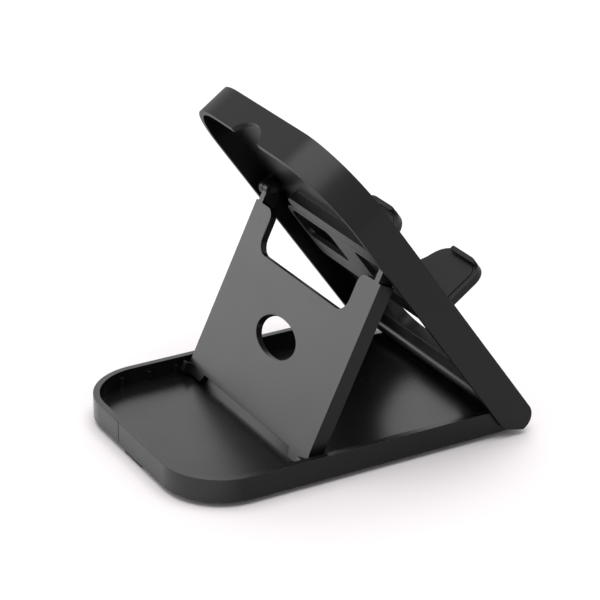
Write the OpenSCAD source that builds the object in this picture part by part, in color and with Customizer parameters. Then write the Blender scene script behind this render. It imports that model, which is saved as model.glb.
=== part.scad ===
// Folding phone stand: a base tray, a lid-shaped back panel hinged to its front end,
// a strut that props the panel up, and a ledge flap that carries the phone.
// X runs along the hinges, +Y points to the rear, +Z is up. The desk is z = 0 and the
// origin is the middle of the outline on the desk.

/* [Base tray] */
// Width over the side walls
base_w = 80; // [72:0.5:90]
// From the main hinge axis to the rear face
base_reach = 103.9; // [95:0.5:115]
// Height of the walls
base_h = 7.2; // [6:0.1:9]
// Thickness of the walls
base_wall = 2; // [1.6:0.1:2.6]
// Thickness of the floor
base_floor = 1.8; // [1.4:0.1:2.4]
// How far the floor runs on in front of the main hinge axis
base_front = 2.2; // [1:0.1:2.4]
// Inner edge of the notch beside each ear, from the middle
ear_notch_x = 32.5; // [28:0.5:34]
// Width of that notch
ear_notch_w = 4.3; // [2:0.1:4.6]
// Length of that notch, behind the axis
ear_notch_y = 5; // [2:0.5:9]
// Radius of the rear corners
base_corner_r = 19; // [10:1:26]
// Height of the main hinge axis over the tray's underside
hinge_rise = 5.56; // [5:0.1:7]
// Radius of the ears around the main hinge
ear_r = 2.9; // [2.4:0.1:3.2]
// How far the wall below each ear reaches in front of the axis
ear_wall = 1.4; // [0.5:0.1:1.8]

/* [Rubber feet] */
// How far the feet stand below the tray
foot_h = 1.6; // [1:0.1:2.5]
// How far they are let into the floor
foot_inset = 0.5; // [0.3:0.1:0.8]
// Width of each foot
foot_w = 13; // [8:0.5:18]
// Depth of each foot
foot_d = 6; // [4:0.5:9]
// Front feet, from the middle
front_foot_x = 28; // [20:0.5:30]
// Front feet, behind the hinge axis
front_foot_y = 12; // [8:0.5:20]

/* [Back panel] */
// Angle between the panel and the desk
tilt = 54.8; // [50:0.2:60]
// From the tray's rear wall to the panel's top wall, when folded
lid_end = 2.3; // [1:0.1:4]
// Thickness of the rim
panel_wall = 1.8; // [1.5:0.1:2.2]
// Thickness of the plate
plate_t = 3.6; // [3.2:0.1:4]
// Hinge axis to the front face
front_off = 6; // [5.8:0.1:6.4]
// Hinge axis to the rear edge of the rim
rim_off = 4.3; // [4:0.1:4.8]
// Radius of the upper corners
panel_corner_r = 23; // [12:1:28]
// How far the rim runs on below the hinge axis
heel = 7; // [6:0.1:7]
// Radius of the front edge of that lower end
heel_r = 4.9; // [3:0.1:5]
// Radius of the tube that the main pins go into
tube_r = 2.4; // [2:0.1:2.5]
// Side gap between the rim and the tray
lid_gap = 0.3; // [0.2:0.05:0.6]
// Width of the finger notch in the top wall
notch_w = 15; // [10:0.5:20]
// Depth of the finger notch
notch_depth = 4.9; // [3:0.1:5.5]

/* [Cable slot] */
// Half width
slot_x = 21; // [17:0.5:26]
// Lower edge, above the hinge axis
slot_low = 3.3; // [3:0.1:8]
// Upper edge, above the hinge axis
slot_high = 24.5; // [23:0.5:28]
// Radius of the corners
slot_r = 9; // [3:0.5:10]

/* [Ledge flap] */
// From the flap's hinge axis up to the strut's
ledge_down = 25.8; // [25.5:0.1:26.5]
// Hinge axis of the flap, in front of the main hinge
ledge_n = 3.7; // [3.6:0.1:3.8]
// Half width of the flap
ledge_x = 31.9; // [28:0.1:32]
// From its hinge axis to the tips
ledge_reach = 18.3; // [16:0.1:18.6]
// Thickness of the shelf
ledge_t = 2.5; // [2:0.1:2.8]
// From the hinge axis to the bottom of the gap between the prongs
gap_reach = 5.5; // [5:0.1:6.5]
// Radius of that gap
gap_r = 11; // [10:0.5:12]
// Radius of the prongs' inner corners
tip_r = 8; // [6.5:0.1:8.5]
// Radius of the prongs' outer corners
prong_r = 5; // [3:0.1:5.5]
// Inner end of each lip, from the middle
lip_x = 16.8; // [15:0.1:18]
// Width of each lip
lip_w = 12; // [8:0.1:13]
// Height of each lip over the shelf
lip_h = 1.7; // [1.2:0.1:2.2]
// Thickness of each lip
lip_t = 1.5; // [1.2:0.1:2]
// Radius of the flap's tube
knuckle_r = 2.2; // [2:0.1:2.2]

/* [Hinge cover] */
// Height of its lower wall
cover_sill = 1.2; // [1:0.1:2]
// From its upper edge up to the strut's hinge axis
cover_down = 4.6; // [4:0.1:4.8]
// Side gap between the cover and the strut
cover_side = 0.7; // [0.5:0.1:1.1]
// Radius of the lower corners
cover_low_r = 3; // [1:0.1:4]
// Radius of the upper corners
cover_high_r = 8; // [6:0.1:8.5]
// Thickness of its back wall
cover_t = 1.5; // [1.2:0.1:1.6]
// Width of the web between the two windows
web_w = 14.4; // [12:0.2:18]
// Height of the windows
window_h = 13.4; // [8:0.1:14]
// Radius of the windows' corners
window_r = 2; // [1:0.1:3]
// Height of the shoulder above the cover
shoulder_h = 6; // [3.6:0.1:6.6]
// Radius of its corners
shoulder_r = 5; // [3:0.1:5.5]

/* [Strut] */
// Strut hinge axis, above the main hinge
strut_u = 65; // [64.5:0.1:66]
// Strut hinge axis, behind the main hinge
strut_n = 1.1; // [0.8:0.1:1.4]
// Between its feet and the panel's tube, when folded
feet_end = 0.4; // [0.3:0.1:1]
// Width of the panel's lugs that carry it
lug_w = 2.1; // [1.6:0.1:2.6]
// Thickness of the plate
strut_t = 2.2; // [1.8:0.1:2.4]
// Depth of the flanges in front of the hinge axis
flange_d = 2.6; // [2:0.1:2.6]
// Thickness of the flanges
flange_t = 1.8; // [1.4:0.1:2]
// Half width of the cut-out at the top
cut_x = 25.7; // [18:0.1:27]
// Depth of the cut-out below the hinge axis
cut_s = 17.7; // [12:0.1:20]
// Middle of the finger hole, below the hinge axis
hole_s = 35.9; // [33:0.1:42]
// Width of the finger hole
hole_w = 22.2; // [14:0.2:30]
// Height of the finger hole
hole_h = 11.7; // [8:0.1:14]
// How far the two feet stand below the edge between them
foot_drop = 2.6; // [1:0.1:4]
// Width of each foot
leg_w = 9; // [6:0.5:12]
// Height of the toes behind the feet
toe_h = 3; // [2:0.1:4]

/* [Notches for the strut] */
// Number of ribs on each side wall
rib_count = 3; // [1:1:3]
// From the feet of the strut to the first rib
toe_run = 2.26; // [1:0.01:3]
// From rib to rib
rib_pitch = 9.2; // [7:0.1:10]
// Thickness of a rib
rib_t = 1.2; // [0.8:0.1:1.6]
// How far a rib stands off the wall
rib_d = 1; // [0.6:0.1:1.2]
// Height of a rib over the floor
rib_h = 3.4; // [2.5:0.1:4.5]

/* [Pins and pads] */
// Radius of the main pins
main_pin_r = 1.2; // [1:0.05:1.3]
// Radius of the strut pins
strut_pin_r = 1.1; // [0.9:0.05:1.2]
// Radius of the flap pins
ledge_pin_r = 0.8; // [0.6:0.05:0.9]
// Radial clearance of each turning pin
pin_gap = 0.05; // [0.02:0.01:0.08]
// Thickness of the silicone pads
pad_t = 0.9; // [0.7:0.1:1.2]
// How far a pad stands out of its recess
pad_proud = 0.3; // [0.2:0.05:0.4]
// Margin around the pads on the flap
pad_edge = 1.7; // [1.2:0.1:2.2]
// Inner end of the pads on the flap, from the middle
pad_x = 8; // [5:0.5:12]
// Width of each pad on the panel
back_pad_w = 22; // [14:1:24]
// Height of each pad on the panel
back_pad_h = 34; // [20:1:38]
// Middle of the panel's pads, from the middle of the panel
back_pad_x = 18; // [16:1:24]

/* [Clearances] */
// Between parts that swing past each other
swing_gap = 0.35; // [0.25:0.05:0.5]
// Side gap in the strut and flap hinges
side_gap = 0.3; // [0.2:0.05:0.4]
// Between a strut foot and the floor or rib it stands against
rest_gap = 0.2; // [0.1:0.05:0.3]
// Between the ribs' faces and the strut's feet that pass them
foot_gap = 0.25; // [0.2:0.05:0.5]
// Between the folded strut and the hinge cover
fold_gap = 0.3; // [0.2:0.05:0.6]
// Around a pad or foot in its recess
seat_gap = 0.1; // [0.05:0.05:0.2]

/* [Hidden] */
$fn = 64;
plastic = [0.07, 0.07, 0.075];
rubber = [0.12, 0.12, 0.12];
steel = [0.62, 0.63, 0.65];
cut = 1;                                  // how far a cutter runs past a face
press = 0.01;                             // radial clearance of a pressed-in pin
foot_corner_r = 1.5;                      // corners of the rubber feet
foot_edge = 0.6;                          // from the rear foot to the tray's rear face
pad_corner_r = 4;                         // corners of the pads on the panel
pad_root = 1;                             // from the flap's tube to its pads
pad_lip = 0.4;                            // from those pads to the lips
rim_low = 1.5;                            // how far the rim's rear edge runs below the axis
rim_slope = [2, 1.4];                     // its slope below that, along and across the panel
heel_low = 0.3;                           // height at which that slope meets the heel
main_pin_in = 3.6;                        // how far a main pin runs into the tube
main_pin_skin = 0.8;                      // wall left outside its other end
ledge_pin_in = 3.5;                       // how far a flap pin runs into the flap
ledge_pin_out = 3.2;                      // how far it runs into the plate
ledge_pin_end = 0.5;                      // room past its inner end
strut_pin_end = 0.3;                      // from a strut pin's inner end to the ear's face
lug_skin = 0.4;                           // wall of a lug outside its blind bore
strut_pin_room = 0.2;                     // room past the pin's outer end
ear_lap = 0.6;                            // how far an ear stands out past the flange
ear_low = 4.6;                            // lower edge of the ears and top of the flanges
ear_root = 6;                             // how far an ear runs down over the plate
cut_out_r = [3.2, 4.5];                   // corners at the top and bottom of the cut-out
leg_slope = 1.2;                          // slope of each leg's inner edge
foot_side = [4, 5];                       // height of a foot's outer edge, and of its slope
flange_end = 1.6;                         // from the end of a flange to the feet

// main hinge
base_in_x = base_w / 2 - base_wall;       // inner face of the tray's side walls
rim_in_x = base_w / 2 + lid_gap;          // inner face of the panel's side walls
rim_x = rim_in_x + panel_wall;            // outer face of the panel
strut_len = strut_u - tube_r - feet_end;
heel_y = (heel_r - heel) * cos(tilt) - (front_off - heel_r) * sin(tilt);
front_reach = heel_r - heel_y;            // panel's foremost point, before the axis
hinge_y = -(base_reach - front_reach) / 2;
hinge_z = foot_h + hinge_rise;
plate_n = front_off - plate_t;            // rear face of the plate
panel_reach = base_reach + lid_end + panel_wall;
cover_rise = plate_n + strut_n - fold_gap;  // how far the cover stands behind the plate

// strut at rest
axis_z = hinge_z + strut_u * sin(tilt) - strut_n * cos(tilt);
axis_y = hinge_y + strut_u * cos(tilt) + strut_n * sin(tilt);
floor_z = foot_h + base_floor;
lean = asin((axis_z - floor_z - rest_gap) / strut_len);
strut_open = 180 - tilt - lean;
foot_y = axis_y + strut_len * cos(lean) + strut_t * sin(lean);
rib_first = foot_y - hinge_y + toe_run;   // front face of the first rib, from the main axis
lug_out_x = base_in_x - side_gap;
lug_in_x = lug_out_x - lug_w;
ear_out_x = lug_in_x - side_gap;
strut_x = ear_out_x - ear_lap + flange_t; // half width over the flanges
ear_in_x = strut_x - flange_t - flange_t;
cover_x = strut_x - flange_t - cover_side;
foot_x = base_in_x - rib_d - foot_gap;    // outer faces of the strut's feet
boss_r = flange_d;

// ledge flap
shelf_low = plate_n + plate_t - ledge_n - seat_gap;  // underside of the shelf, below the axis
shelf_top = ledge_t - shelf_low;                     // top of the shelf, above the axis
ledge_u = strut_u - ledge_down;                      // flap's hinge axis above the main hinge
pocket_x = ledge_x + swing_gap;
pocket_r = prong_r + swing_gap;
pocket_low = ledge_u - knuckle_r - swing_gap;
pocket_high = ledge_u + sqrt(pow(ledge_reach, 2) + pow(shelf_top + lip_h, 2)) + swing_gap;
cover_n = plate_n - cover_rise;                      // rear face of the cover
cover_low = pocket_low - cover_sill;                 // its lower edge
cover_high = strut_u - cover_down;                   // its upper edge
shoulder_high = cover_high + shoulder_h;             // upper edge of the shoulder over it

module frame_panel() translate([0, hinge_y, hinge_z]) rotate([tilt, 0, 0]) children();
module frame_ledge() frame_panel() translate([0, ledge_u, ledge_n]) children();
module frame_strut() frame_panel() translate([0, strut_u, -strut_n])
    rotate([180 + strut_open, 0, 0]) children();
module both() { children(); mirror([1, 0, 0]) children(); }
module side(s) { if (s < 0) mirror([1, 0, 0]) children(); else children(); }
// a bar along X from x0 to x1
module rod(x0, x1, r) translate([x0, 0, 0]) rotate([0, 90, 0]) cylinder(h = x1 - x0, r = r);
// a side profile in the Y-Z plane, given depth along X from x0 to x1
module along_x(x0, x1) translate([x0, 0, 0]) rotate([90, 0, 90])
    linear_extrude(x1 - x0) children();

function arc(c, r, a0, a1, n = 10) =
    [for (i = [0:n]) c + r * [cos(a0 + (a1 - a0) * i / n), sin(a0 + (a1 - a0) * i / n)]];
function both_sides(p) = concat(p, [for (i = [len(p) - 1:-1:0]) [-p[i][0], p[i][1]]]);
// a rectangle, x0 to x1 by y0 to y1, with round corners
module round_rect(x0, x1, y0, y1, r) {
    translate([x0 + r, y0]) square([x1 - x0 - 2 * r, y1 - y0]);
    translate([x0, y0 + r]) square([x1 - x0, y1 - y0 - 2 * r]);
    for (x = [x0 + r, x1 - r], y = [y0 + r, y1 - r]) translate([x, y]) circle(r);
}
// the same, with square corners at y0 and round ones at y1
module arch_rect(x, y0, y1, r) intersection() {
    translate([-x, y0]) square([2 * x, y1 - y0]);
    union() {
        translate([-x, y0]) square([2 * x, y1 - r - y0]);
        translate([r - x, y0]) square([2 * (x - r), y1 - y0]);
        for (i = [-1, 1]) translate([i * (x - r), y1 - r]) circle(r);
    }
}

module tray_shell() color(plastic) difference() {
    union() {
        translate([0, hinge_y, foot_h]) linear_extrude(base_h)
            arch_rect(base_w / 2, 0, base_reach, base_corner_r);
        translate([-ear_notch_x, hinge_y - base_front, foot_h])
            cube([2 * ear_notch_x, base_front + cut, base_floor]);
        both() translate([0, hinge_y, hinge_z]) rod(base_in_x, base_w / 2, ear_r);
        // wall between the ear and the tray's underside
        both() translate([base_in_x, hinge_y - ear_wall, foot_h])
            cube([base_wall, ear_wall + cut, hinge_rise]);
    }
    translate([0, hinge_y, floor_z]) linear_extrude(base_h + cut)
        arch_rect(base_in_x, -cut, base_reach - base_wall, base_corner_r - base_wall);
    // pin bores in the ears
    both() translate([0, hinge_y, hinge_z])
        rod(base_in_x - cut, base_w / 2 + cut, main_pin_r + pin_gap);
    // notches that let the ears spring over the pins
    both() translate([ear_notch_x, hinge_y - cut, foot_h - cut])
        cube([ear_notch_w, ear_notch_y + cut, base_floor + 2 * cut]);
    foot_places() translate([0, 0, -cut]) foot_shape(seat_gap, foot_inset + cut);
}
// the ribs reach only part of the wall's height
module ribs() color(plastic) intersection() {
    translate([0, hinge_y, foot_h]) linear_extrude(base_h)
        arch_rect(base_w / 2, 0, base_reach, base_corner_r);
    both() for (i = [0:rib_count - 1])
        translate([base_in_x - rib_d, hinge_y + rib_first + i * rib_pitch, floor_z - base_floor / 2])
            cube([rib_d + base_wall / 2, rib_t, rib_h + base_floor / 2]);
}
module base_tray() { tray_shell(); ribs(); }
module foot_shape(gap, h) linear_extrude(h)
    round_rect(-foot_w / 2 - gap, foot_w / 2 + gap, -foot_d / 2 - gap, foot_d / 2 + gap,
               foot_corner_r);
module rear_place() translate([0, hinge_y + base_reach - foot_d / 2 - foot_edge, foot_h])
    children();
module front_place() translate([front_foot_x, hinge_y + front_foot_y, foot_h]) children();
module foot_places() { rear_place() children(); both() front_place() children(); }
module foot() color(rubber) translate([0, 0, -foot_h]) foot_shape(0, foot_h + foot_inset);
module rear_foot() rear_place() foot();
module front_foot(s) side(s) front_place() foot();

// side view of the panel: square rim edge, round front edge at the lower end
function heel_profile() = concat(
    [[panel_reach, -rim_off], [-rim_low, -rim_off],
     [-rim_low - rim_slope[0], -rim_off + rim_slope[1]], [-heel, heel_low]],
    arc([heel_r - heel, front_off - heel_r], heel_r, 180, 90),
    [[panel_reach, front_off]]);

module back_panel() color(plastic) difference() {
    union() {
        difference() {
            intersection() {
                translate([0, 0, -rim_off]) linear_extrude(rim_off + front_off)
                    arch_rect(rim_x, -heel, panel_reach, panel_corner_r);
                along_x(-rim_x, rim_x) polygon(heel_profile());
            }
            // hollow behind the plate
            translate([0, 0, -rim_off - cut]) linear_extrude(rim_off + cut + plate_n)
                arch_rect(rim_in_x, -heel - cut, panel_reach - panel_wall,
                          panel_corner_r - panel_wall);
        }
        rod(-base_in_x + side_gap, base_in_x - side_gap, tube_r);
        // web from the tube to the plate
        translate([-base_in_x + side_gap, -tube_r, 0])
            cube([2 * (base_in_x - side_gap), 2 * tube_r, plate_n + cut]);
        // shoulder above the hinge cover
        translate([0, 0, cover_n]) linear_extrude(cover_rise + cut)
            arch_rect(cover_x - cover_high_r, cover_high + seat_gap, shoulder_high, shoulder_r);
        both() translate([0, strut_u, -strut_n]) {
            rod(lug_in_x, lug_out_x, boss_r);
            translate([lug_in_x, -boss_r, 0])
                cube([lug_out_x - lug_in_x, 2 * boss_r, strut_n + plate_n + cut]);
        }
    }
    // room for the tray's ears
    both() rod(base_in_x - side_gap, rim_in_x, ear_r + swing_gap);
    // blind bores for the main pins, in the tube and in the rim
    both() rod(main_pin_x0, main_pin_x1, main_pin_r + press);
    both() translate([0, strut_u, -strut_n])
        rod(lug_in_x - cut, lug_out_x - lug_skin, strut_pin_r + pin_gap);
    both() translate([0, ledge_u, ledge_n]) rod(pocket_x - cut, ledge_pin_x1, ledge_pin_r + press);
    // cable slot and flap pocket
    translate([0, 0, plate_n - cut]) linear_extrude(plate_t + 2 * cut) {
        round_rect(-slot_x, slot_x, slot_low, slot_high, slot_r);
        arch_rect(pocket_x, pocket_low, pocket_high, pocket_r);
    }
    // finger notch
    translate([0, panel_reach - panel_wall - cut, -rim_off - notch_up]) rotate([-90, 0, 0])
        cylinder(h = panel_wall + 2 * cut, r = notch_r);
    back_pad_places() linear_extrude(pad_t + cut) back_pad_shape(seat_gap);
}
notch_r = (pow(notch_w / 2, 2) + pow(notch_depth, 2)) / (2 * notch_depth);
notch_up = notch_r - notch_depth;
main_pin_x0 = base_in_x - side_gap - main_pin_in;
main_pin_x1 = rim_in_x + panel_wall - main_pin_skin;
ledge_pin_x0 = ledge_x - ledge_pin_in;
ledge_pin_x1 = pocket_x + ledge_pin_out;
back_pad_u = (pocket_high + panel_reach) / 2;

module main_pin(s) color(steel) side(s) frame_panel() rod(main_pin_x0, main_pin_x1, main_pin_r);
module ledge_pin(s) color(steel) side(s) frame_ledge()
    rod(ledge_pin_x0, ledge_pin_x1, ledge_pin_r);

module back_pad_shape(gap) round_rect(-back_pad_w / 2 - gap, back_pad_w / 2 + gap,
                                      -back_pad_h / 2 - gap, back_pad_h / 2 + gap,
                                      pad_corner_r);
module back_pad_place(s) side(s)
    translate([back_pad_x, back_pad_u, front_off + pad_proud - pad_t]) children();
module back_pad_places() { back_pad_place(1) children(); back_pad_place(-1) children(); }
module back_pad(s) color(rubber) frame_panel() back_pad_place(s)
    linear_extrude(pad_t) back_pad_shape(0);

// cover behind the flap's pocket, with two windows that take the folded lips
function cover_outline() = both_sides(concat(
    [[0, cover_low]],
    arc([cover_x - cover_low_r, cover_low + cover_low_r], cover_low_r, -90, 0, 6),
    arc([cover_x - cover_high_r, cover_high - cover_high_r], cover_high_r, 0, 90, 8)));
module hinge_cover() color(plastic) frame_panel() difference() {
    translate([0, 0, cover_n]) linear_extrude(cover_rise) polygon(cover_outline());
    // hollow for the flap, open to the front
    translate([0, 0, cover_n + cover_t]) linear_extrude(cover_rise)
        arch_rect(pocket_x, pocket_low, pocket_high, pocket_r);
    both() translate([0, 0, cover_n - cut]) linear_extrude(cover_t + 2 * cut) intersection() {
        round_rect(web_w / 2, ledge_x, pocket_high - window_h, pocket_high, window_r);
        arch_rect(ledge_x, pocket_low, pocket_high, pocket_r);
    }
}

// the flap lies open, with its prongs pointing forward; d insets the outline for the pads
tip_x = sqrt(pow(gap_r + tip_r, 2) - pow(gap_reach + gap_r - ledge_reach + tip_r, 2));
tip_turn = acos(tip_x / (gap_r + tip_r));
function flap_outline(d = 0) = both_sides(concat(
    arc([0, gap_reach + gap_r], gap_r + d, -90, -tip_turn, 12),
    arc([tip_x, ledge_reach - tip_r], tip_r - d, 180 - tip_turn, 90, 6),
    arc([ledge_x - prong_r, ledge_reach - prong_r], prong_r - d, 90, 0, 6),
    [[ledge_x - d, 0]]));
module ledge_flap() color(plastic) frame_ledge() difference() {
    union() {
        rod(-ledge_x, ledge_x, knuckle_r);
        translate([0, -shelf_low, 0]) rotate([90, 0, 0]) mirror([0, 0, 1])
            linear_extrude(ledge_t) polygon(flap_outline());
        both() translate([0, shelf_top - cut, 0]) rotate([90, 0, 0]) mirror([0, 0, 1])
            linear_extrude(lip_h + cut) intersection() {
                polygon(flap_outline());
                translate([lip_x, ledge_reach - lip_t]) square([lip_w, lip_t + cut]);
            }
    }
    both() rod(ledge_pin_x0 - ledge_pin_end, ledge_x + cut, ledge_pin_r + pin_gap);
    ledge_pad_places() ledge_pad_shape(seat_gap, pad_t + cut);
}
// pads on the prongs
module ledge_pad_shape(gap, h) rotate([90, 0, 0]) mirror([0, 0, 1]) linear_extrude(h)
    intersection() {
        polygon(flap_outline(pad_edge - gap));
        translate([pad_x - gap, knuckle_r + pad_root - gap])
            square([ledge_x, ledge_reach - lip_t - pad_lip - knuckle_r - pad_root + 2 * gap]);
    }
module ledge_pad_place(s) side(s) translate([0, shelf_top + pad_proud - pad_t, 0]) children();
module ledge_pad_places() { ledge_pad_place(1) children(); ledge_pad_place(-1) children(); }
module ledge_pad(s) color(rubber) frame_ledge() ledge_pad_place(s) ledge_pad_shape(0, pad_t);

// strut outline: x across, y from the hinge axis to the feet
function strut_outline() = both_sides(concat(
    [[0, strut_len - foot_drop], [strut_x - leg_w - leg_slope, strut_len - foot_drop]],
    [[strut_x - leg_w, strut_len], [foot_x, strut_len], [foot_x, strut_len - foot_side[0]]],
    [[strut_x, strut_len - foot_side[1]], [strut_x, ear_low], [ear_in_x, ear_low]],
    arc([cut_x + cut_out_r[0], ear_low + cut_out_r[0]], cut_out_r[0], -90, -180, 8),
    arc([cut_x - cut_out_r[1], cut_s - cut_out_r[1]], cut_out_r[1], 0, 90, 8),
    [[0, cut_s]]));
// the toes reach back to the first rib
toe_t = strut_t + (toe_run - rest_gap) / sin(lean);
module strut_plate() color(plastic) frame_strut() difference() {
    union() {
        linear_extrude(strut_t) polygon(strut_outline());
        both() {
            rod(ear_in_x, ear_out_x, boss_r);
            translate([ear_in_x, 0, -flange_d]) cube([ear_out_x - ear_in_x, ear_root, flange_d + strut_t]);
            translate([strut_x - flange_t, ear_low, -flange_d])
                cube([flange_t, strut_len - ear_low - flange_end, flange_d + strut_t]);
            translate([strut_x - flange_t, strut_len - toe_h, 0])
                cube([foot_x - strut_x + flange_t, toe_h, toe_t]);
        }
    }
    both() rod(ear_in_x - cut, ear_out_x + cut, strut_pin_r + press);
    translate([0, hole_s, -cut]) linear_extrude(strut_t + 2 * cut)
        polygon([for (a = [0:6:354]) [hole_w / 2 * cos(a), hole_h / 2 * sin(a)]]);
}
module strut_pin(s) color(steel) side(s) frame_strut()
    rod(ear_in_x + strut_pin_end, lug_out_x - lug_skin - strut_pin_room, strut_pin_r);

base_tray();
rear_foot();
front_foot(-1);  // front_foot_left
front_foot(1);  // front_foot_right
frame_panel() back_panel();
hinge_cover();
back_pad(-1);  // back_pad_left
back_pad(1);  // back_pad_right
main_pin(-1);  // main_pin_left
main_pin(1);  // main_pin_right
ledge_pin(-1);  // ledge_pin_left
ledge_pin(1);  // ledge_pin_right
ledge_flap();
ledge_pad(-1);  // ledge_pad_left
ledge_pad(1);  // ledge_pad_right
strut_plate();
strut_pin(-1);  // strut_pin_left
strut_pin(1);  // strut_pin_right
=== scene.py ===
# Folding phone stand: base tray, lid-shaped panel, prop strut and flip-out ledge.
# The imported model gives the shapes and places; this script gives edges, surfaces and light.
import math

import bmesh
import bpy
from mathutils import Matrix, Vector


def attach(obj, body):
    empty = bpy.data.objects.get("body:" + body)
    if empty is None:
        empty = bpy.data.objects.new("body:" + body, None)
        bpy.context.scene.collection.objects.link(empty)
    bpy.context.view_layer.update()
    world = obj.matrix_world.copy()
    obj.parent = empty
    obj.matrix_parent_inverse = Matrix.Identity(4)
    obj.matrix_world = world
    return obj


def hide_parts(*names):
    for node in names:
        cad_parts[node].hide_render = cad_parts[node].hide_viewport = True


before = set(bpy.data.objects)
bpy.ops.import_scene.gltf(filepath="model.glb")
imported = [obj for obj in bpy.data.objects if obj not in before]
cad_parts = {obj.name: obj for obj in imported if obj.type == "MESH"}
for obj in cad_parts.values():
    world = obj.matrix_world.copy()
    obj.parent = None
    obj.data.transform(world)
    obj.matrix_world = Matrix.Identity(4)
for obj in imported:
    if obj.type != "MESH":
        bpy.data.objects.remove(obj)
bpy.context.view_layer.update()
print("frame loaded:", len(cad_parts), "nodes")

mm = 0.001
shot = {
    "position": Vector((-0.5611, 0.31415, 0.3321)),
    "direction": Vector((0.793, -0.445, -0.415)),
    "lens": 144.8,
    "nearest": 10 * mm,
}


def addCamera():
    data = bpy.data.cameras.new("camera")
    data.lens = shot["lens"]
    data.clip_start = shot["nearest"]
    camera = bpy.data.objects.new("camera", data)
    camera.location = shot["position"]
    camera.rotation_euler = shot["direction"].to_track_quat("-Z", "Y").to_euler()
    bpy.context.scene.collection.objects.link(camera)
    bpy.context.scene.camera = camera


addCamera()
print("camera placed")


def colour(code):
    # an sRGB hex code as the linear values that shaders take
    parts = [int(code[i:i + 2], 16) / 255 for i in (1, 3, 5)]
    return [((c + 0.055) / 1.055) ** 2.4 if c > 0.04045 else c / 12.92 for c in parts] + [1]


def add(tree, kind, settings=None, **inputs):
    node = tree.nodes.new(kind)
    for name, value in (settings or {}).items():
        setattr(node, name, value)
    for name, value in inputs.items():
        socket = node.inputs[int(name[1:]) if name[1:].isdigit() else name.replace("_", " ")]
        if isinstance(value, bpy.types.NodeSocket):
            tree.links.new(value, socket)
        else:
            socket.default_value = value
    return node


def newMaterial(name):
    material = bpy.data.materials.new(name)
    material.use_nodes = True
    tree = material.node_tree
    tree.nodes.clear()
    place = add(tree, "ShaderNodeTexCoord").outputs["Object"]
    return material, tree, place


def finishMaterial(tree, shader):
    add(tree, "ShaderNodeOutputMaterial", Surface=shader.outputs[0])


noise = {"grainDetail": 3.0, "grainRoughness": 0.6, "cloudDetail": 2.0, "cloudLow": 0.3, "cloudHigh": 0.7}


def mouldedPlastic(name, finish):
    # a moulded skin: a grain that frays the highlights and a cloud that makes the gloss a little uneven
    # the grain is drawn coarser than real
    material, tree, place = newMaterial(name)
    grain = add(tree, "ShaderNodeTexNoise", Vector=place, Scale=1 / (finish["grain"] * mm),
                Detail=noise["grainDetail"], Roughness=noise["grainRoughness"])
    cloud = add(tree, "ShaderNodeTexNoise", Vector=place, Scale=1 / (finish["cloud"] * mm),
                Detail=noise["cloudDetail"])
    uneven = add(tree, "ShaderNodeMapRange", _0=cloud.outputs["Fac"],
                 _1=noise["cloudLow"], _2=noise["cloudHigh"],
                 _3=finish["roughness"] - finish["spread"], _4=finish["roughness"] + finish["spread"])
    bump = add(tree, "ShaderNodeBump", Height=grain.outputs["Fac"], Strength=finish["bump"],
               Distance=finish["depth"] * mm)
    shader = add(tree, "ShaderNodeBsdfPrincipled", Base_Color=colour(finish["colour"]),
                 Roughness=uneven.outputs["Result"], IOR=finish["ior"], Normal=bump.outputs["Normal"])
    finishMaterial(tree, shader)
    return material


pinFinish = {"colour": "#6c6e72", "marks": 0.6, "waver": 1.5, "detail": 2.0, "bump": 0.2, "depth": 0.01,
             "roughness": 0.32}


def groundSteel():
    # the pins' ends show as dull metal in the strut's ears; the turning marks are drawn coarser than real
    material, tree, place = newMaterial("groundSteel")
    turning = add(tree, "ShaderNodeTexWave", {"wave_type": "BANDS", "bands_direction": "X"}, Vector=place,
                  Scale=1 / (pinFinish["marks"] * mm), Distortion=pinFinish["waver"],
                  Detail=pinFinish["detail"])
    bump = add(tree, "ShaderNodeBump", Height=turning.outputs["Fac"], Strength=pinFinish["bump"],
               Distance=pinFinish["depth"] * mm)
    shader = add(tree, "ShaderNodeBsdfPrincipled", Base_Color=colour(pinFinish["colour"]), Metallic=1.0,
                 Roughness=pinFinish["roughness"], Normal=bump.outputs["Normal"])
    finishMaterial(tree, shader)
    return material


finishes = {
    # broad soft highlights on the panel, its cover, the flap and the strut
    "satin": {"colour": "#101011", "ior": 1.5, "grain": 0.45, "cloud": 14, "roughness": 0.33,
              "spread": 0.012, "bump": 0.12, "depth": 0.02},
    # tighter reflections of the paper in the tray's walls
    "gloss": {"colour": "#0f0f10", "ior": 1.5, "grain": 0.6, "cloud": 18, "roughness": 0.27,
              "spread": 0.015, "bump": 0.06, "depth": 0.015},
    # dull pads, a little paler than the plastic round them
    "silicone": {"colour": "#171718", "ior": 1.43, "grain": 0.35, "cloud": 9, "roughness": 0.5,
                 "spread": 0.04, "bump": 0.3, "depth": 0.03},
    # dark feet, the dullest surface of the stand
    "rubber": {"colour": "#0f0f10", "ior": 1.52, "grain": 0.5, "cloud": 6, "roughness": 0.6,
               "spread": 0.05, "bump": 0.4, "depth": 0.04},
}
satin = mouldedPlastic("satinMouldedAbs", finishes["satin"])
gloss = mouldedPlastic("polishedMouldedAbs", finishes["gloss"])
silicone = mouldedPlastic("castSilicone", finishes["silicone"])
rubber = mouldedPlastic("mouldedRubber", finishes["rubber"])
steel = groundSteel()
print("materials made")


cleaning = {"weld": 2e-6, "flat": 0.6}


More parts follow.
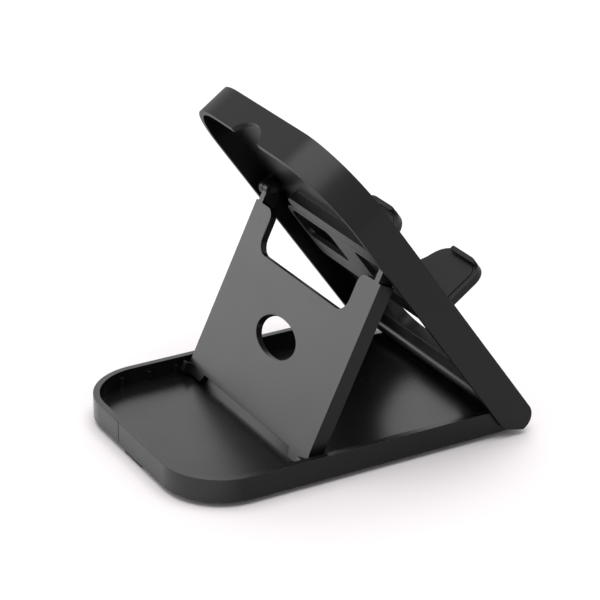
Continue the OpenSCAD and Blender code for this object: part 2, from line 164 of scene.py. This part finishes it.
def cleanCopy(node):
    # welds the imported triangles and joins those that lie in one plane, which leaves the real edges
    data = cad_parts[node].data.copy()
    mesh = bmesh.new()
    mesh.from_mesh(data)
    bmesh.ops.remove_doubles(mesh, verts=mesh.verts, dist=cleaning["weld"])
    bmesh.ops.dissolve_limit(mesh, angle_limit=math.radians(cleaning["flat"]), verts=mesh.verts,
                             edges=mesh.edges)
    mesh.to_mesh(data)
    mesh.free()
    return data


def applied(obj):
    view = bpy.context.evaluated_depsgraph_get()
    data = bpy.data.meshes.new_from_object(obj.evaluated_get(view))
    obj.modifiers.clear()
    obj.data = data


def cutAway(obj, tool):
    # takes the tool's solid out of the piece
    boolean = obj.modifiers.new("groove", "BOOLEAN")
    boolean.operation = "DIFFERENCE"
    boolean.solver = "EXACT"
    boolean.object = tool
    applied(obj)
    bpy.data.objects.remove(tool)


def blockAt(low, high):
    data = bpy.data.meshes.new("block")
    mesh = bmesh.new()
    bmesh.ops.create_cube(mesh, size=1)
    for vert in mesh.verts:
        vert.co = [low[i] + (vert.co[i] + 0.5) * (high[i] - low[i]) for i in range(3)]
    mesh.to_mesh(data)
    mesh.free()
    block = bpy.data.objects.new("block", data)
    bpy.context.scene.collection.objects.link(block)
    return block


flatWeight = 100


def softened(name, node, body, material, sizes, grooves=()):
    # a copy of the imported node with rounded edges, in its finish
    obj = bpy.data.objects.new(name, cleanCopy(node))
    bpy.context.scene.collection.objects.link(obj)
    for low, high in grooves:
        cutAway(obj, blockAt(low, high))
    bevel = obj.modifiers.new("edge", "BEVEL")
    bevel.width = sizes["edge"] * mm
    bevel.segments = sizes["segments"]
    bevel.limit_method = "ANGLE"
    bevel.angle_limit = math.radians(sizes["limit"])
    bevel.use_clamp_overlap = True
    applied(obj)
    for face in obj.data.polygons:
        face.use_smooth = True
    obj.data.set_sharp_from_angle(angle=math.radians(sizes["sharp"]))
    # flat faces keep flat normals, so that reflections don't fan out over them
    weighted = obj.modifiers.new("flats", "WEIGHTED_NORMAL")
    weighted.weight = flatWeight
    weighted.keep_sharp = True
    applied(obj)
    obj.data.materials.clear()
    obj.data.materials.append(material)
    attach(obj, body)
    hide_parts(node)
    print(name, len(obj.data.polygons), "faces")


def nodeBox(node):
    corners = [vert.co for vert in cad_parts[node].data.vertices]
    return [[pick(c[i] for c in corners) for i in range(3)] for pick in (min, max)]


trayLow, trayHigh = nodeBox("base_tray")
tray = {"edge": 0.35, "segments": 4, "limit": 32, "sharp": 35,
        "seamPlace": 7.9, "seamWidth": 0.28, "seamDepth": 0.2, "seamOver": 1}


def traySeam():
    # the fine vertical line in the middle of the rear wall
    over = tray["seamOver"] * mm
    low = [(tray["seamPlace"] - tray["seamWidth"] / 2) * mm, trayHigh[1] - tray["seamDepth"] * mm,
           trayLow[2] - over]
    high = [(tray["seamPlace"] + tray["seamWidth"] / 2) * mm, trayHigh[1] + over, trayHigh[2] + over]
    return low, high


softened("trayMoulding", "base_tray", "base", gloss, tray, [traySeam()])

feet = {"edge": 0.3, "segments": 3, "limit": 32, "sharp": 35}
softened("rearFootPad", "rear_foot", "base", rubber, feet)
softened("frontFootPadLeft", "front_foot_left", "base", rubber, feet)
softened("frontFootPadRight", "front_foot_right", "base", rubber, feet)

panel = {"edge": 0.35, "segments": 4, "limit": 32, "sharp": 35}
softened("panelMoulding", "back_panel", "panel", satin, panel)

cover = {"edge": 0.3, "segments": 3, "limit": 32, "sharp": 35}
softened("hingeCoverMoulding", "hinge_cover", "panel", satin, cover)

backPad = {"edge": 0.25, "segments": 3, "limit": 32, "sharp": 35}
softened("backPadLeft", "back_pad_left", "panel", silicone, backPad)
softened("backPadRight", "back_pad_right", "panel", silicone, backPad)

ledge = {"edge": 0.35, "segments": 4, "limit": 32, "sharp": 35}
softened("ledgeMoulding", "ledge_flap", "ledge", satin, ledge)

ledgePad = {"edge": 0.2, "segments": 3, "limit": 32, "sharp": 35}
softened("ledgePadLeft", "ledge_pad_left", "ledge", silicone, ledgePad)
softened("ledgePadRight", "ledge_pad_right", "ledge", silicone, ledgePad)

strut = {"edge": 0.3, "segments": 3, "limit": 32, "sharp": 35}
softened("strutMoulding", "strut_plate", "strut", satin, strut)

marks = {"columns": 3, "rows": 4, "spanX": 44, "spanY": 60, "radius": 1.8, "height": 0.06, "middle": 4}


def markTree():
    # a grid of shallow round marks, as ejector pins leave them
    tree = bpy.data.node_groups.new("witnessMarks", "GeometryNodeTree")
    face = tree.interface
    face.new_socket("Geometry", in_out="OUTPUT", socket_type="NodeSocketGeometry")
    kinds = {"Columns": "Int", "Rows": "Int", "Span X": "Float", "Span Y": "Float", "Radius": "Float",
             "Height": "Float", "Material": "Material"}
    names = {label: face.new_socket(label, in_out="INPUT", socket_type="NodeSocket" + kind).identifier
             for label, kind in kinds.items()}
    given = tree.nodes.new("NodeGroupInput").outputs
    grid = add(tree, "GeometryNodeMeshGrid", Size_X=given["Span X"], Size_Y=given["Span Y"],
               Vertices_X=given["Columns"], Vertices_Y=given["Rows"])
    disc = add(tree, "GeometryNodeMeshCylinder", Radius=given["Radius"], Depth=given["Height"])
    spread = add(tree, "GeometryNodeInstanceOnPoints", Points=grid.outputs["Mesh"],
                 Instance=disc.outputs["Mesh"])
    whole = add(tree, "GeometryNodeRealizeInstances", Geometry=spread.outputs["Instances"])
    coated = add(tree, "GeometryNodeSetMaterial", Geometry=whole.outputs["Geometry"],
                 Material=given["Material"])
    add(tree, "NodeGroupOutput", Geometry=coated.outputs["Geometry"])
    return tree, names


def witnessMarks():
    tree, names = markTree()
    obj = bpy.data.objects.new("witnessMarks", bpy.data.meshes.new("witnessMarks"))
    bpy.context.scene.collection.objects.link(obj)
    repeat = obj.modifiers.new("repeat", "NODES")
    repeat.node_group = tree
    # each disc stands half inside the tray
    values = {"Columns": marks["columns"], "Rows": marks["rows"], "Span X": marks["spanX"] * mm,
              "Span Y": marks["spanY"] * mm, "Radius": marks["radius"] * mm,
              "Height": 2 * marks["height"] * mm, "Material": gloss}
    for label, value in values.items():
        repeat[names[label]] = value
    applied(obj)
    obj.data.transform(Matrix.Translation((0, marks["middle"] * mm, trayLow[2])))
    obj.data.set_sharp_from_angle(angle=math.radians(tray["sharp"]))
    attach(obj, "base")
    print("witnessMarks", len(obj.data.polygons), "faces")


witnessMarks()

pinNodes = [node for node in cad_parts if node.endswith(("pin_left", "pin_right"))]
for node in pinNodes:
    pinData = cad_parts[node].data
    pinData.materials.clear()
    pinData.materials.append(steel)
print("pins finished:", len(pinNodes))


def softbox(name, light):
    data = bpy.data.lights.new(name, "AREA")
    data.shape = "RECTANGLE"
    data.size, data.size_y = light["size"]
    # the watts that give the lamp's face its radiance
    data.energy = light["radiance"] * math.pi * light["size"][0] * light["size"][1]
    lamp = bpy.data.objects.new(name, data)
    lamp.location = light["place"]
    aim = light["target"] - Vector(light["place"])
    lamp.rotation_euler = aim.to_track_quat("-Z", "Y").to_euler()
    bpy.context.scene.collection.objects.link(lamp)


middle = Vector((0, 0, 40 * mm))
softboxes = {
    "keySoftbox": {"place": (1.05, 0.8, 0.17), "size": (0.9, 0.66), "radiance": 2.75, "target": middle},
    "topSoftbox": {"place": (0, 0, 1.0), "size": (1.2, 1.2), "radiance": 2.0, "target": middle},
    "sideSoftbox": {"place": (1.5, -0.85, 0.85), "size": (1.0, 0.8), "radiance": 0.85, "target": middle},
}
room = {"seen": 1.0, "around": 0.5}
# seen is the paper's own colour; beside and behind are painted light, a grey and a bright strip that only
# the plastic sees
sweep = {"half": 4.0, "seen": "#fffafb", "beside": "#b4b2b2", "behind": "#ffffff",
         "stripStart": (0.038, 0.056), "stripEnd": (0.085, 0.12), "roughness": 0.8}


def seenOr(tree, seen, around):
    # one colour for the camera and another for light that bounces between the set and the plastic
    path = add(tree, "ShaderNodeLightPath")
    mix = add(tree, "ShaderNodeMix", {"data_type": "RGBA"}, _0=path.outputs["Is Camera Ray"],
              _6=around, _7=seen)
    return mix.outputs[2]


def addStudio():
    for name, light in softboxes.items():
        softbox(name, light)
    world = bpy.data.worlds.new("studio")
    world.use_nodes = True
    bpy.context.scene.world = world
    backdrop = world.node_tree.nodes["Background"]
    grey = seenOr(world.node_tree, [room["seen"]] * 3 + [1], [room["around"]] * 3 + [1])
    world.node_tree.links.new(grey, backdrop.inputs["Color"])
    material, tree, place = newMaterial("paperSweep")
    # white to the camera; to the plastic it is grey, with a white strip just behind the stand. The white
    # the camera sees is the paper's own colour; the hidden colours are painted light: the grey dims the
    # light the floor bounces onto the plastic, and the strip is a painted bright band that the tray's
    # walls and the panel reflect
    depth = add(tree, "ShaderNodeSeparateXYZ", Vector=place).outputs["Y"]
    rise = add(tree, "ShaderNodeMapRange", _0=depth,
               _1=sweep["stripStart"][0], _2=sweep["stripStart"][1])
    fall = add(tree, "ShaderNodeMapRange", _0=depth,
               _1=sweep["stripEnd"][0], _2=sweep["stripEnd"][1], _3=1.0, _4=0.0)
    strip = add(tree, "ShaderNodeMath", {"operation": "MULTIPLY"}, _0=rise.outputs["Result"],
                _1=fall.outputs["Result"])
    bounced = add(tree, "ShaderNodeMix", {"data_type": "RGBA"}, _0=strip.outputs["Value"],
                  _6=colour(sweep["beside"]), _7=colour(sweep["behind"]))
    paper = seenOr(tree, colour(sweep["seen"]), bounced.outputs[2])
    shader = add(tree, "ShaderNodeBsdfPrincipled", Base_Color=paper, Roughness=sweep["roughness"])
    finishMaterial(tree, shader)
    half = sweep["half"]
    data = bpy.data.meshes.new("floor")
    corners = [(-half, -half, 0), (half, -half, 0), (half, half, 0), (-half, half, 0)]
    data.from_pydata(corners, [], [(0, 1, 2, 3)])
    data.materials.append(material)
    floor = bpy.data.objects.new("floor", data)
    bpy.context.scene.collection.objects.link(floor)
    bpy.context.scene.view_settings.view_transform = "Standard"


addStudio()
print("studio lit")
